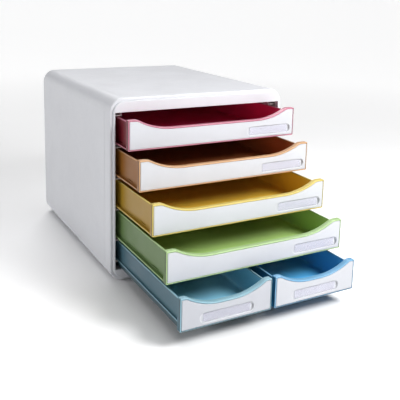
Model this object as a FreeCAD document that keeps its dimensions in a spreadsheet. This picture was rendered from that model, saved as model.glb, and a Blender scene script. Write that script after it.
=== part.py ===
import FreeCAD, Part
import Sketcher
import math
import os

# Desktop drawer set: a white casing with four wide drawers above two half drawers.
# Origin: on the desk, under the middle of the casing. +X to the right, +Y to the back, +Z up.
# All lengths are in millimetres.

# Driving sizes: name, value, what it measures.
DRIVING_SIZES = (
    ("case_width", 288, "casing, side to side"),
    ("case_depth", 347, "casing, front face to back edge"),
    ("case_height", 270, "casing without its feet"),
    ("corner_radius", 21, "long rounded edges of the casing, outside"),
    ("shell_wall", 3, "wall of the cover, the base and the sides"),
    ("foot_drop", 1, "how far the feet lift the casing off the desk"),
    ("foot_recess", 1, "depth of the seat under the base that holds a foot"),
    ("foot_width", 14, "rubber foot, side to side"),
    ("foot_length", 30, "rubber foot, front to back"),
    ("foot_gap", 0.3, "play round a foot in its seat"),
    ("foot_edge", 0.4, "bevel round the underside of a foot"),
    ("foot_from_side", 32, "casing side to the middle of a foot"),
    ("foot_from_end", 34, "front or back of the casing to the middle of a foot"),
    ("jamb_width", 7, "casing side to the edge of the opening"),
    ("jamb_depth", 8.5, "front to back depth of a jamb"),
    ("fascia_height", 20, "top of the casing to the top of the opening"),
    ("sill_height", 18.5, "underside of the casing to the bottom of the opening"),
    ("fascia_wall", 5, "thickness of the fascia and the sill"),
    ("face_step", 3, "how far the front face stands out of the shell"),
    ("face_inset", 4.5, "margin between the casing outline and the front face"),
    ("shell_edge", 2.4, "rounding of the front edge of the shell"),
    ("face_edge", 1.2, "bevel of the outer edge of the front face"),
    ("tongue_width", 1, "tongue on the edges of a side panel"),
    ("tongue_height", 1.5, "how far the tongue reaches into the cover or base"),
    ("tongue_gap", 0.2, "play round the tongue"),
    ("tongue_from_end", 12, "front or back edge of a side panel to its tongue"),
    ("seam_from_front", 24, "front face to the fine groove down each side"),
    ("seam_width", 0.8, "fine groove down each side"),
    ("seam_depth", 0.5, "fine groove down each side"),
    ("back_wall", 2.5, "back panel"),
    ("back_gap", 0.2, "play round the back panel"),
    ("back_recess", 0.5, "how far the back panel sits inside the shell"),
    ("back_margin", 16, "raised border round the sunk field of the back panel"),
    ("back_sink", 0.8, "depth of the sunk field"),
    ("lining_wall", 2.5, "upright plate that carries the rails of one side"),
    ("rail_reach", 14.5, "how far a rail stands out of its lining"),
    ("rail_wall", 1.6, "wall of the hollow rails"),
    ("rail_start_gap", 1, "play between a closed front and the end of a rail"),
    ("run_gap", 0.3, "play between a drawer and the rail below it"),
    ("guide_gap", 1.5, "play between a drawer wall and the rail above it"),
    ("half_rail_wall", 2.5, "solid rail under the flange of a half drawer"),
    ("side_play", 1, "play between a half rail and the drawer wall beside it"),
    ("divider_wall", 3, "upright web between the half drawers"),
    ("divider_foot", 20, "width of the divider where it stands on the base"),
    ("divider_cap", 18, "width of the cap that guides the half drawers"),
    ("divider_flange", 2, "thickness of the foot and the cap of the divider"),
    ("first_front", 2, "play between the sill and the lowest fronts"),
    ("last_front", 3, "play between the highest front and the fascia"),
    ("row_gap", 3.5, "play between the fronts of one row and the next"),
    ("wide_side_gap", 1.5, "play between a full front and each jamb"),
    ("half_side_gap", 4.2, "play between a half front and the jamb beside it"),
    ("middle_gap", 5, "gap between the two half fronts"),
    ("front_depth", 8, "front to back depth of the boxed drawer front"),
    ("lip_wall", 2, "coloured rim and lip round the front plate"),
    ("front_wall", 2, "coloured wall behind the front plate"),
    ("front_corner", 1.5, "rounded corners of a drawer front"),
    ("rim_corner", 0.8, "cut corners inside the rim, and of the front plate"),
    ("lip_edge", 0.7, "bevelled edges of the lip and rim"),
    ("scoop_share", 0.33, "dip of the lip below the shoulders, of the height of the front"),
    ("wide_shoulder", 10.5, "flat shoulder at each end of a full front"),
    ("wide_low_share", 0.517, "flat bottom of the scoop, of a full front"),
    ("wide_brow_radius", 15, "round of the shoulder, full drawer"),
    ("half_shoulder", 6.5, "flat shoulder at each end of a half front"),
    ("half_low_share", 0.13, "flat bottom of the scoop, of a half front"),
    ("half_brow_radius", 10, "round of the shoulder, half drawer"),
    ("rear_gap", 9, "rear wall of a closed drawer to the back panel"),
    ("tray_wall", 2, "side and rear walls of a drawer"),
    ("tray_floor", 2, "floor of a drawer"),
    ("tray_corner", 7, "rear corners of a drawer, outside"),
    ("tray_cove", 2.5, "slant between the floor and the walls"),
    ("wall_drop", 5, "how much lower the walls are than the shoulders"),
    ("wide_set_in", 6, "front edge to the side wall, full drawer"),
    ("half_set_in", 4, "front edge to the side wall, half drawer"),
    ("flange_wall", 2, "thickness of the running flange"),
    ("flange_reach_gap", 1.2, "front edge to the running flange, half drawer"),
    ("half_flange_rise", 9, "underside of a half drawer to its running flange"),
    ("ear_setback", 70, "rear wall to the stop ear"),
    ("ear_length", 6, "stop ear, front to back"),
    ("ear_play", 0.5, "play between a stop ear and the lining beside it"),
    ("stop_gap", 0.5, "what is left between ear and jamb with the drawer fully out"),
    ("catch_from_front", 34, "front face to the catch recess in a side wall"),
    ("catch_length", 16, "catch recess"),
    ("catch_height", 2.6, "catch recess"),
    ("catch_rise", 1.6, "running flange to the catch recess"),
    ("catch_depth", 1.2, "catch recess"),
    ("plate_gap", 0.2, "play between the front plate and its rim"),
    ("plate_proud", 0.4, "how far the front plate stands out of its rim"),
    ("plate_wall", 2, "face of the front plate, behind the rim line"),
    ("plate_skirt", 1.6, "wall round the back of the front plate"),
    ("plate_edge", 0.5, "bevelled edge of the front plate"),
    ("pocket_length", 76, "label pocket, end to end"),
    ("pocket_height", 12.4, "label pocket"),
    ("pocket_depth", 1.6, "label pocket"),
    ("pocket_rise", 5.8, "underside of the front to the label pocket"),
    ("pocket_from_end", 7, "right edge of a full front to the label pocket"),
    ("card_length", 67, "label card"),
    ("card_margin", 0.8, "label card to the pocket edge above and below it"),
    ("card_from_end", 4.5, "left end of the pocket to the label card"),
    ("card_thickness", 0.4, "label card"),
    ("window_overlap", 0.3, "clear cover beyond the card, all round"),
    ("window_thickness", 0.7, "clear cover"),
    ("notch_length", 6, "finger notch through the right end of the label pocket"),
    ("notch_height", 7.2, "finger notch"),
    ("notch_from_end", 1.2, "right end of the pocket to the finger notch"),
    ("opened_1", 43.8, "how far the top drawer stands open"),
    ("opened_2", 80.7, "second drawer"),
    ("opened_3", 123, "third drawer"),
    ("opened_4", 164.1, "fourth drawer"),
    ("opened_5", 198, "both half drawers"),
)

ROWS = 5
WIDE_ROWS = 4
SIDES = (("left", -1), ("right", 1))
ENDS = (("front", -1), ("back", 1))
NEAR_SHARE = 0.01


class Size:
    """A length, with the formula that ties it to the table of driving sizes."""

    def __init__(self, value, text):
        self.value = value
        self.text = text

    @staticmethod
    def of(other):
        if isinstance(other, Size):
            return other
        return Size(float(other), repr(float(other)))

    def joined(self, other, sign, value):
        return Size(value, "(" + self.text + " " + sign + " " + other.text + ")")

    def __add__(self, other):
        other = Size.of(other)
        return self.joined(other, "+", self.value + other.value)

    def __sub__(self, other):
        other = Size.of(other)
        return self.joined(other, "-", self.value - other.value)

    def __mul__(self, other):
        other = Size.of(other)
        return self.joined(other, "*", self.value * other.value)

    def __truediv__(self, other):
        other = Size.of(other)
        return self.joined(other, "/", self.value / other.value)

    def __neg__(self):
        return Size(-self.value, "(0 - " + self.text + ")")


NOUGHT = Size(0.0, "0")


class Sizes:
    """Driving sizes by name, each a cell of the sheet, and the sizes that follow from them."""

    def __init__(self, document):
        self.sheet = document.addObject("Spreadsheet::Sheet", "Sizes")
        self.rows = 0
        for name, value, meaning in DRIVING_SIZES:
            self.enter(name, float(value), str(value), meaning)
        self.side = self.case_width / 2
        self.back = self.case_depth / 2
        self.front = -self.back
        self.lining_face = self.side - self.shell_wall - self.lining_wall
        self.rail_front = self.front + self.front_depth + self.rail_start_gap
        self.rail_back = self.back - self.back_recess - self.back_wall
        self.derive("front_height", (
            self.case_height - self.sill_height - self.fascia_height - self.first_front
            - self.last_front - self.row_gap * (ROWS - 1)) / ROWS, "drawer front at its shoulders")
        self.derive("row_pitch", self.front_height + self.row_gap, "one row to the next")
        opening = self.case_width - self.jamb_width * 2
        self.derive("wide_front", opening - self.wide_side_gap * 2, "width of a full front")
        self.derive("half_front", (opening - self.half_side_gap * 2 - self.middle_gap) / 2,
                    "width of a half front")
        self.derive("tray_length", self.rail_back - self.rear_gap - self.front,
                    "drawer, front face to rear wall")
        document.recompute()

    def enter(self, name, value, content, meaning):
        self.rows += 1
        self.sheet.set("A%d" % self.rows, name)
        self.sheet.set("B%d" % self.rows, content)
        self.sheet.set("C%d" % self.rows, meaning)
        self.sheet.setAlias("B%d" % self.rows, name)
        setattr(self, name, Size(value, "Sizes." + name))

    def derive(self, name, size, meaning):
        # a size that follows from others gets a formula cell
        self.enter(name, size.value, "=" + size.text.replace("Sizes.", ""), meaning)

    def front_low(self, row):
        # underside of the drawer fronts of a row, above the underside of the casing
        return self.sill_height + self.first_front + self.row_pitch * (ROWS - row)

    def guide_low(self, row):
        # underside of the rail or guide above the drawers of a row
        return self.front_low(row) + self.front_height - self.wall_drop + self.guide_gap


class Outline:
    """A closed outline of straight runs and arcs, walked corner by corner."""

    def __init__(self, across, up):
        self.corners = [(Size.of(across), Size.of(up))]
        self.spans = []

    def line(self, across, up):
        self.corners.append((Size.of(across), Size.of(up)))
        self.spans.append(None)
        return self

    def arc(self, across, up, radius, turn):
        # turn is 1 where the walk bends to the left and -1 where it bends to the right
        self.corners.append((Size.of(across), Size.of(up)))
        self.spans.append((Size.of(radius), turn))
        return self

    def close(self):
        self.spans.append(None)
        return self

    def close_arc(self, radius, turn):
        self.spans.append((Size.of(radius), turn))
        return self

    def draw(self, sketch):
        count = len(self.corners)
        ends = []
        for index, span in enumerate(self.spans):
            start = self.corners[index]
            stop = self.corners[(index + 1) % count]
            a = FreeCAD.Vector(start[0].value, start[1].value, 0)
            b = FreeCAD.Vector(stop[0].value, stop[1].value, 0)
            if span is None:
                number = sketch.addGeometry(Part.LineSegment(a, b), False)
                ends.append((number, 1, 2))
            else:
                radius, turn = span
                number = sketch.addGeometry(arc_between(a, b, radius.value, turn), False)
                ends.append((number, 1, 2) if turn > 0 else (number, 2, 1))
                place = sketch.addConstraint(Sketcher.Constraint("Radius", number, radius.value))
                sketch.setExpression("Constraints[%d]" % place, radius.text)
        for index in range(count):
            number, first, last = ends[index]
            following, following_first, unused = ends[(index + 1) % count]
            sketch.addConstraint(
                Sketcher.Constraint("Coincident", number, last, following, following_first))
            pin(sketch, number, first, self.corners[index])


def arc_between(a, b, radius, turn):
    middle = (a + b) * 0.5
    chord = b - a
    half = chord.Length / 2
    normal = FreeCAD.Vector(-chord.y, chord.x, 0).normalize()
    centre = middle + normal * turn * math.sqrt(max(radius * radius - half * half, 0))
    circle = Part.Circle(centre, FreeCAD.Vector(0, 0, 1), radius)
    low, high = (a, b) if turn > 0 else (b, a)
    first = math.atan2(low.y - centre.y, low.x - centre.x)
    last = math.atan2(high.y - centre.y, high.x - centre.x)
    if last < first:
        last += 2 * math.pi
    return Part.ArcOfCircle(circle, first, last)


def pin(sketch, number, end, corner):
    # ties one end of a line or arc, or a circle's centre, to its place in the sketch
    for kind, size in (("DistanceX", corner[0]), ("DistanceY", corner[1])):
        if size is NOUGHT:
            axis = -2 if kind == "DistanceX" else -1
            sketch.addConstraint(Sketcher.Constraint("PointOnObject", number, end, axis))
        else:
            place = sketch.addConstraint(Sketcher.Constraint(kind, -1, 1, number, end, size.value))
            sketch.setExpression("Constraints[%d]" % place, size.text)


class Reach:
    """How far one edge reaches along each axis."""

    def __init__(self, edge, slack):
        box = edge.BoundBox
        self.low = {"x": box.XMin, "y": box.YMin, "z": box.ZMin}
        self.high = {"x": box.XMax, "y": box.YMax, "z": box.ZMax}
        self.slack = slack

    def starts(self, axis, size):
        return abs(self.low[axis] - size.value) < self.slack

    def ends(self, axis, size):
        return abs(self.high[axis] - size.value) < self.slack

    def lies(self, axis, size):
        return self.starts(axis, size) and self.ends(axis, size)

    def touches(self, axis, size):
        return self.starts(axis, size) or self.ends(axis, size)

    def inside(self, axis, low, high):
        return self.low[axis] > low.value - self.slack and self.high[axis] < high.value + self.slack


class Piece:
    """One sub-part, grown feature by feature."""

    def __init__(self, document, s, label, across=NOUGHT, back=NOUGHT, up=NOUGHT):
        self.document = document
        self.slack = s.shell_wall.value * NEAR_SHARE
        self.body = document.addObject("PartDesign::Body", label)
        self.body.Label = label
        for axis, size in (("x", across), ("y", back), ("z", up)):
            if size is not NOUGHT:
                self.body.setExpression("Placement.Base." + axis, size.text)

    def datum(self, role):
        for feature in self.body.Origin.OriginFeatures:
            if feature.Role == role:
                return feature
        raise ValueError("no " + role)

    def sketch(self, name, plane, outlines, offset=NOUGHT):
        drawing = self.body.newObject("Sketcher::SketchObject", name)
        drawing.AttachmentSupport = (self.datum(plane), [""])
        drawing.MapMode = "FlatFace"
        if offset is not NOUGHT:
            drawing.setExpression("AttachmentOffset.Base.z", offset.text)
        for outline in outlines:
            outline.draw(drawing)
        drawing.Visibility = False
        return drawing

    def pad(self, name, drawing, length, reverse=False):
        feature = self.body.newObject("PartDesign::Pad", name)
        feature.Profile = drawing
        feature.setExpression("Length", length.text)
        feature.Reversed = reverse
        self.document.recompute()
        return feature

    def cut(self, name, drawing, depth, reverse=False):
        before = self.body.Shape.Volume
        feature = self.body.newObject("PartDesign::Pocket", name)
        feature.Profile = drawing
        feature.setExpression("Length", depth.text)
        feature.Reversed = reverse
        self.document.recompute()
        if not self.body.Shape.Volume < before:
            raise ValueError(self.body.Label + ": " + name + " cuts nothing")
        return feature

    def dress(self, kind, name, size_name, size, choose):
        # rounds or bevels each edge of the latest feature whose reach the choice picks
        base = self.body.Tip
        picked = []
        for index, edge in enumerate(base.Shape.Edges):
            if choose(Reach(edge, self.slack)):
                picked.append("Edge%d" % (index + 1))
        if not picked:
            raise ValueError(self.body.Label + ": " + name + " finds no edge")
        feature = self.body.newObject("PartDesign::" + kind, name)
        feature.Base = (base, picked)
        feature.setExpression(size_name, size.text)
        self.document.recompute()
        return feature

    def repeat(self, name, feature, count, pitch):
        # the same feature again and again, upward
        pattern = self.body.newObject("PartDesign::LinearPattern", name)
        pattern.Originals = [feature]
        pattern.Direction = (self.datum("Z_Axis"), [""])
        pattern.Occurrences = count
        pattern.setExpression("Length", (pitch * (count - 1)).text)
        self.body.Tip = pattern
        self.document.recompute()
        return pattern

    def round(self, name, radius, choose):
        return self.dress("Fillet", name, "Radius", radius, choose)

    def bevel(self, name, size, choose):
        return self.dress("Chamfer", name, "Size", size, choose)


def block(x_low, x_high, y_low, y_high):
    return Outline(x_low, y_low).line(x_high, y_low).line(x_high, y_high).line(x_low, y_high).close()


def rounded_block(x_low, x_high, y_low, y_high, radius):
    outline = Outline(x_low + radius, y_low).line(x_high - radius, y_low)
    outline.arc(x_high, y_low + radius, radius, 1).line(x_high, y_high - radius)
    outline.arc(x_high - radius, y_high, radius, 1).line(x_low + radius, y_high)
    outline.arc(x_low, y_high - radius, radius, 1).line(x_low, y_low + radius)
    return outline.close_arc(radius, 1)


def pill(x_low, x_high, y_low, y_high):
    # round ends, each of two quarter turns
    radius = (y_high - y_low) / 2
    middle = y_low + radius
    outline = Outline(x_low + radius, y_low).line(x_high - radius, y_low)
    outline.arc(x_high, middle, radius, 1).arc(x_high - radius, y_high, radius, 1)
    outline.line(x_low + radius, y_high).arc(x_low, middle, radius, 1)
    return outline.close_arc(radius, 1)


def crown(s, outer, shoulder, opening, inset, turn):
    # closed end of the casing seen from ahead: rounded outer line, drawer opening on the far side
    radius = s.corner_radius
    jamb = s.side - s.jamb_width
    line = Outline(-s.side + inset, shoulder).arc(-s.side + radius, outer, radius - inset, turn)
    line.line(s.side - radius, outer).arc(s.side - inset, shoulder, radius - inset, turn)
    line.line(jamb, shoulder).line(jamb, opening).line(-jamb, opening).line(-jamb, shoulder)
    return line.close()


def wrap(s, outer, inner, shoulder, turn):
    # one long bent wall of the casing seen from ahead, with both rounded edges
    radius = s.corner_radius
    wall = s.shell_wall
    line = Outline(-s.side, shoulder).arc(-s.side + radius, outer, radius, turn)
    line.line(s.side - radius, outer).arc(s.side, shoulder, radius, turn)
    line.line(s.side - wall, shoulder).arc(s.side - radius, inner, radius - wall, -turn)
    line.line(-s.side + radius, inner).arc(-s.side + wall, shoulder, radius - wall, -turn)
    return line.close()


def shell_half(document, s, label, upper):
    # the cover above the seams or the base below them, each with its part of the front face
    if upper:
        outer = s.case_height
        inner = s.case_height - s.shell_wall
        rim = s.case_height - s.face_inset
        shoulder = s.case_height - s.corner_radius
        opening = s.case_height - s.fascia_height
        turn = -1
    else:
        outer = NOUGHT
        inner = s.shell_wall
        rim = s.face_inset
        shoulder = s.corner_radius
        opening = s.sill_height
        turn = 1
    step = s.front + s.face_step
    piece = Piece(document, s, label, up=s.foot_drop)
    wall = piece.sketch("wall_outline", "XZ_Plane", [wrap(s, outer, inner, shoulder, turn)], -step)
    piece.pad("bent_wall", wall, s.back - step, True)
    stop = crown(s, outer, shoulder, opening, NOUGHT, turn)
    ring = piece.sketch("ring_outline", "XZ_Plane", [stop], -step)
    piece.pad("front_ring", ring, s.fascia_wall - s.face_step, True)
    face = crown(s, rim, shoulder, opening, s.face_inset, turn)
    raised = piece.sketch("face_outline", "XZ_Plane", [face], -s.front)
    piece.pad("front_face", raised, s.fascia_wall, True)
    piece.round("shell_rounding", s.shell_edge,
                lambda reach: reach.lies("y", step) and reach.touches("z", outer))
    piece.bevel("face_bevel", s.face_edge,
                lambda reach: reach.lies("y", s.front) and reach.touches("z", rim))
    grooves = [tongue(s, sign, s.tongue_gap) for unused, sign in SIDES]
    plan = piece.sketch("groove_outline", "XY_Plane", grooves, shoulder)
    piece.cut("grooves", plan, s.tongue_height + s.tongue_gap, upper)
    return piece


def tongue(s, sign, play):
    # plan of the tongue along one side panel, or of its groove where there is play
    middle = s.side - s.shell_wall / 2
    half = s.tongue_width / 2 + play
    return block(
        (middle - half) * sign, (middle + half) * sign,
        s.front + s.face_step + s.tongue_from_end - play, s.back - s.tongue_from_end + play)


def foot_places(s):
    # one foot near each corner, and one in the middle that keeps the wide base from sagging
    yield "middle", NOUGHT, NOUGHT
    for end_name, end in ENDS:
        for side_name, sign in SIDES:
            yield (end_name + "_" + side_name, (s.side - s.foot_from_side) * sign,
                   (s.back - s.foot_from_end) * end)


def base_shell(document, s):
    piece = shell_half(document, s, "base_shell", False)
    half_width = s.foot_width / 2 + s.foot_gap
    half_length = s.foot_length / 2 + s.foot_gap
    seats = [
        block(across - half_width, across + half_width, back - half_length, back + half_length)
        for unused, across, back in foot_places(s)]
    plan = piece.sketch("seat_outline", "XY_Plane", seats)
    piece.cut("foot_seats", plan, s.foot_recess, True)
    return piece


def feet(document, s):
    for name, across, back in foot_places(s):
        piece = Piece(document, s, "foot_" + name, across, back)
        pad = block(-s.foot_width / 2, s.foot_width / 2, -s.foot_length / 2, s.foot_length / 2)
        plan = piece.sketch("pad_outline", "XY_Plane", [pad])
        piece.pad("pad", plan, s.foot_drop + s.foot_recess)
        piece.bevel("edge", s.foot_edge, lambda reach: reach.lies("z", NOUGHT))
        yield piece


def side_panel(document, s, name, sign):
    # flat side with the jamb of the drawer opening, the fine groove and a tongue at each end
    piece = Piece(document, s, "side_panel_" + name, up=s.foot_drop)
    outer = s.side
    inner = s.side - s.shell_wall
    jamb = s.side - s.jamb_width
    face = s.side - s.face_inset
    step = s.front + s.face_step
    seam = s.front + s.seam_from_front
    plan = Outline(outer * sign, step)
    for across, back in (
            (outer, seam), (outer - s.seam_depth, seam),
            (outer - s.seam_depth, seam + s.seam_width), (outer, seam + s.seam_width),
            (outer, s.back), (inner, s.back), (inner, s.front + s.jamb_depth),
            (jamb, s.front + s.jamb_depth), (jamb, s.front), (face, s.front), (face, step)):
        plan.line(across * sign, back)
    low = s.corner_radius
    high = s.case_height - s.corner_radius
    piece.pad("panel", piece.sketch("panel_outline", "XY_Plane", [plan.close()], low), high - low)
    piece.round("shell_rounding", s.shell_edge,
                lambda reach: reach.lies("x", outer * sign) and reach.lies("y", step))
    piece.bevel("face_bevel", s.face_edge,
                lambda reach: reach.lies("x", face * sign) and reach.lies("y", s.front))
    for end, level in (("upper", high), ("lower", low)):
        rib = piece.sketch(end + "_tongue_outline", "XY_Plane", [tongue(s, sign, NOUGHT)], level)
        piece.pad(end + "_tongue", rib, s.tongue_height, end == "lower")
    return piece


def back_panel(document, s):
    piece = Piece(document, s, "back_panel", up=s.foot_drop)
    margin = s.shell_wall + s.back_gap
    outer = rounded_block(
        -s.side + margin, s.side - margin, margin, s.case_height - margin,
        s.corner_radius - margin)
    plate = piece.sketch("plate_outline", "XZ_Plane", [outer], -s.rail_back)
    piece.pad("plate", plate, s.back_wall, True)
    border = margin + s.back_margin
    inner = block(-s.side + border, s.side - border, border, s.case_height - border)
    field = piece.sketch("field_outline", "XZ_Plane", [inner], s.back_recess - s.back)
    piece.cut("sunk_field", field, s.back_sink, True)
    return piece


def runner_panel(document, s, name, sign):
    # upright lining that carries the hollow rails, the guide above them and the half rail
    piece = Piece(document, s, "runner_panel_" + name, up=s.foot_drop)
    top = s.case_height - s.corner_radius
    length = s.rail_back - s.rail_front
    plate = block(s.rail_front, s.rail_back, s.corner_radius, top)
    lining = piece.sketch(
        "lining_outline", "YZ_Plane", [plate], (s.lining_face + s.lining_wall) * sign)
    piece.pad("lining", lining, s.lining_wall, sign > 0)
    half_edge = s.middle_gap / 2 + s.half_front - s.half_set_in + s.side_play
    half_top = s.front_low(ROWS) + s.half_flange_rise - s.run_gap
    half_rail = block(rooted(s, sign), half_edge * sign, half_top - s.half_rail_wall, half_top)
    shelf = piece.sketch("half_rail_outline", "XZ_Plane", [half_rail], -s.rail_front)
    piece.pad("half_rail", shelf, length, True)
    guide = piece.sketch(
        "guide_outline", "XZ_Plane", tube(s, sign, s.guide_low(1), top), -s.rail_front)
    piece.pad("top_guide", guide, length, True)
    lowest = tube(s, sign, s.guide_low(ROWS), s.front_low(WIDE_ROWS) - s.run_gap)
    rail = piece.pad(
        "rail", piece.sketch("rail_outline", "XZ_Plane", lowest, -s.rail_front), length, True)
    piece.repeat("rails", rail, WIDE_ROWS, s.row_pitch)
    return piece


def rooted(s, sign):
    # rails start in the middle of the lining, so that they grow out of it
    return (s.lining_face + s.lining_wall / 2) * sign


def tube(s, sign, low, high):
    # hollow rail seen from ahead
    tip = s.lining_face - s.rail_reach
    wall = s.rail_wall
    return [
        block(rooted(s, sign), tip * sign, low, high),
        block(s.lining_face * sign, (tip + wall) * sign, low + wall, high - wall)]


def centre_divider(document, s):
    # upright web between the half drawers: foot, two running ledges, cap over the drawer walls
    piece = Piece(document, s, "centre_divider", up=s.foot_drop)
    foot = s.divider_foot / 2
    web = s.divider_wall / 2
    cap = s.divider_cap / 2
    ledge = s.middle_gap / 2 + s.half_set_in - s.side_play
    floor = s.shell_wall
    ledge_top = s.front_low(ROWS) + s.half_flange_rise - s.run_gap
    cap_low = s.guide_low(ROWS)
    profile = (
        (foot, floor), (foot, floor + s.divider_flange), (web, floor + s.divider_flange),
        (web, ledge_top - s.half_rail_wall), (ledge, ledge_top - s.half_rail_wall),
        (ledge, ledge_top), (web, ledge_top), (web, cap_low), (cap, cap_low),
        (cap, cap_low + s.divider_flange))
    line = Outline(-foot, floor)
    for across, up in profile:
        line.line(across, up)
    for across, up in reversed(profile[1:]):
        line.line(-across, up)
    drawing = piece.sketch("section", "XZ_Plane", [line.close()], -s.rail_front)
    piece.pad("divider", drawing, s.rail_back - s.rail_front, True)
    return piece


class Drawer:
    """Sizes and place of one drawer; each of its pieces is drawn from its front, bottom middle."""

    def __init__(self, s, row, side):
        self.s = s
        self.wide = side is None
        self.tag = str(row) if self.wide else str(row) + "_" + side[0]
        self.half = (s.wide_front if self.wide else s.half_front) / 2
        self.shoulder = s.wide_shoulder if self.wide else s.half_shoulder
        self.low_share = s.wide_low_share if self.wide else s.half_low_share
        self.brow = s.wide_brow_radius if self.wide else s.half_brow_radius
        self.wall_face = self.half - (s.wide_set_in if self.wide else s.half_set_in)
        self.flange_edge = self.half - (s.front_corner if self.wide else s.flange_reach_gap)
        self.flange_rise = NOUGHT if self.wide else s.half_flange_rise
        self.centre = NOUGHT if self.wide else (s.middle_gap / 2 + self.half) * side[1]
        self.sign = 0 if self.wide else side[1]
        self.back = s.front - getattr(s, "opened_%d" % row)
        self.up = s.foot_drop + s.front_low(row)
        self.recess = s.front_depth - s.front_wall
        self.wall_top = s.front_height - s.wall_drop
        self.label_end = self.half - s.pocket_from_end if self.wide else s.pocket_length / 2
        self.label_start = self.label_end - s.pocket_length

    def piece(self, document, name):
        return Piece(document, self.s, name + "_" + self.tag, self.centre, self.back, self.up)

    def scoop(self, inset, corner, rounded=False):
        # the front seen from ahead: flat shoulders, then on each side a tight brow that rolls
        # into a long hollow toe, and a flat middle; both arcs are tangent where they meet
        s = self.s
        depth = s.front_height * s.scoop_share
        low_x = self.half * self.low_share
        brow_x = self.half - self.shoulder
        run = brow_x - low_x
        roll = (run * run + depth * depth) / (depth * 2)
        toe = roll - self.brow
        # an inset line keeps the centres of both arcs, so its bend lies on the line between them
        top = s.front_height - inset
        low = top - depth
        bend_x = low_x + (toe + inset) * run / roll
        bend_z = low + inset + toe * depth / roll - inset * (roll - depth) / roll
        toe = toe + inset
        brow = self.brow - inset
        side = self.half - inset
        line = Outline(-side + corner, inset).line(side - corner, inset)
        self.turn(line, side, inset + corner, corner, rounded).line(side, top - corner)
        self.turn(line, side - corner, top, corner, rounded).line(brow_x, top)
        line.arc(bend_x, bend_z, brow, 1).arc(low_x, low, toe, -1).line(-low_x, low)
        line.arc(-bend_x, bend_z, toe, -1).arc(-brow_x, top, brow, 1).line(-side + corner, top)
        self.turn(line, -side, top - corner, corner, rounded).line(-side, inset + corner)
        return line.close_arc(corner, 1) if rounded else line.close()

    def turn(self, line, across, up, corner, rounded):
        return line.arc(across, up, corner, 1) if rounded else line.line(across, up)

    def plan(self, half, front, rear, corner):
        # tub or its room from above: square at the front, rounded corners at the rear
        line = Outline(-half, front).line(half, front).line(half, rear - corner)
        line.arc(half - corner, rear, corner, 1).line(-half + corner, rear)
        return line.arc(-half, rear - corner, corner, 1).close()

    def flange(self, sign):
        # running flange along one wall; its stop ear is left out beside the divider
        s = self.s
        root = self.wall_face - s.tray_wall / 2
        rear = s.tray_length - s.tray_corner
        line = Outline(root * sign, s.front_depth).line(self.flange_edge * sign, s.front_depth)
        if self.wide or sign == self.sign:
            reach = s.lining_face - s.ear_play - self.centre * sign
            ear_rear = s.tray_length - s.ear_setback
            for across, back in (
                    (self.flange_edge, ear_rear - s.ear_length),
                    (reach, ear_rear - s.ear_length), (reach, ear_rear),
                    (self.flange_edge, ear_rear)):
                line.line(across * sign, back)
        return line.line(self.flange_edge * sign, rear).line(root * sign, rear).close()

    def tray(self, document):
        # boxed front with its scooped lip, tub behind it, running flanges with stop ears
        s = self.s
        piece = self.piece(document, "tray")
        front = piece.sketch("front_outline", "XZ_Plane", [self.scoop(NOUGHT, s.front_corner, True)])
        piece.pad("front_block", front, s.front_depth, True)
        hollow = piece.sketch("recess_outline", "XZ_Plane", [self.scoop(s.lip_wall, s.rim_corner)])
        piece.cut("plate_recess", hollow, self.recess)
        piece.bevel("lip_bevel", s.lip_edge,
                    lambda reach: reach.lies("y", NOUGHT))
        rear = s.tray_length
        keel = block(
            -(self.flange_edge if self.wide else self.wall_face),
            self.flange_edge if self.wide else self.wall_face,
            self.recess, rear - s.tray_corner)
        piece.pad("floor", piece.sketch("floor_outline", "XY_Plane", [keel]), s.tray_floor)
        tub = self.plan(self.wall_face, s.front_depth, rear, s.tray_corner)
        piece.pad("tub", piece.sketch("tub_outline", "XY_Plane", [tub]), self.wall_top)
        room = self.plan(self.wall_face - s.tray_wall, s.front_depth, rear - s.tray_wall,
                         s.tray_corner - s.tray_wall)
        drawing = piece.sketch("room_outline", "XY_Plane", [room], s.tray_floor)
        piece.cut("tub_room", drawing, s.front_height, True)
        inside = self.wall_face - s.tray_wall / 2
        piece.bevel("floor_cove", s.tray_cove,
                    lambda reach: reach.lies("z", s.tray_floor)
                    and reach.inside("y", s.front_depth, s.tray_length)
                    and reach.inside("x", -inside, inside))
        flanges = [self.flange(sign) for unused, sign in SIDES]
        drawing = piece.sketch("flange_outline", "XY_Plane", flanges, self.flange_rise)
        piece.pad("running_flanges", drawing, s.flange_wall)
        if not self.wide:
            return piece
        low = s.flange_wall + s.catch_rise
        catch = block(s.catch_from_front, s.catch_from_front + s.catch_length,
                      low, low + s.catch_height)
        for name, sign in SIDES:
            drawing = piece.sketch(
                "catch_outline_" + name, "YZ_Plane", [catch], self.wall_face * sign)
            piece.cut("catch_" + name, drawing, s.catch_depth, sign < 0)
        return piece

    def front_plate(self, document):
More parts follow.
